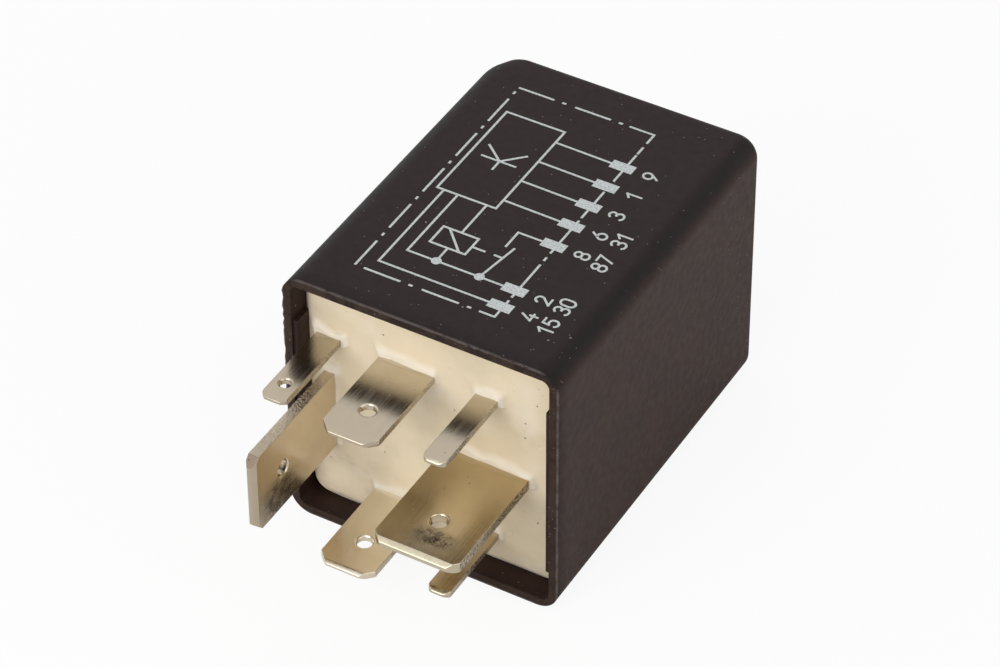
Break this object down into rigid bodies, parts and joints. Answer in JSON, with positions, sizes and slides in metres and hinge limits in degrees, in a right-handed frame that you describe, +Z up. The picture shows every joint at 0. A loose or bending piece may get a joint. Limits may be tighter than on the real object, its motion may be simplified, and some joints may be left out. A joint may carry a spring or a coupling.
{
  "type": "automotive relay",
  "caption": "Plug-in control relay: a black moulded cap sealed with cream compound, flat blades of three sizes, and a coil, hinged armature, contacts and circuit board inside.",
  "frame": {"origin": "middle of the bounding box, on the surface that the relay lies on", "axes": "+X across the open end, +Y from the blade tips to the closed end, +Z up out of the printed side"},
  "size_m": [0.031, 0.0552, 0.031],
  "materials": {
    "cap": "satin black moulded plastic with fine pale dust specks",
    "sealing_compound": "poured cream sealing compound, smooth and slightly glossy, with pits and specks",
    "base_plate": "dark brown moulded plastic",
    "blade_metal": "tin-plated brass, satin, warm",
    "soft_iron": "zinc-plated soft iron",
    "bobbin": "natural nylon",
    "coil_winding": "enamelled copper wire",
    "pin_metal": "tinned wire",
    "spring_bronze": "spring bronze strip",
    "rivet_metal": "plated steel",
    "contact_silver": "silver contact alloy",
    "circuit_board": "glass-fibre board with green solder resist",
    "control_chip": "black moulded package",
    "resistors": "tan lacquer",
    "diodes": "black moulded package",
    "electrolytic_capacitor": "blue sleeve over an aluminium can",
    "film_capacitor": "red dipped box",
    "drive_transistor": "black moulded package",
    "solder_joints": "bright solder"
  },
  "bodies": {
    "relay": {"cap": "cap", "sealing_compound": "sealing_compound", "base_plate": "base_plate", "blade_top_left": "blade_metal", "blade_top_middle": "blade_metal", "blade_top_right": "blade_metal", "power_blade_left": "blade_metal", "power_blade_right": "blade_metal", "blade_bottom_middle": "blade_metal", "blade_bottom_right": "blade_metal", "yoke": "soft_iron", "core": "soft_iron", "bobbin": "bobbin", "coil_winding": "coil_winding", "coil_pins": "pin_metal", "hinge_spring": "spring_bronze", "hinge_spring_rivets": "rivet_metal", "make_contact": "contact_silver", "break_contact": "contact_silver", "circuit_board": "circuit_board", "control_chip": "control_chip", "resistors": "resistors", "diodes": "diodes", "electrolytic_capacitor": "electrolytic_capacitor", "film_capacitor": "film_capacitor", "drive_transistor": "drive_transistor", "solder_joints": "solder_joints"},
    "armature_assembly": {"armature": "soft_iron", "contact_spring": "spring_bronze", "contact_spring_rivets": "rivet_metal", "moving_contact": "contact_silver"}
  },
  "joints": [
    {"name": "armature_hinge", "type": "hinge", "parent": "relay", "child": "armature_assembly", "pos_m": [0.01202, 0.01495, 0.013], "axis": [0, 0, 1], "range_deg": [0, 2.5], "stiffness_Nm_per_rad": 0.14, "springref_deg": -2.29}
  ]
}
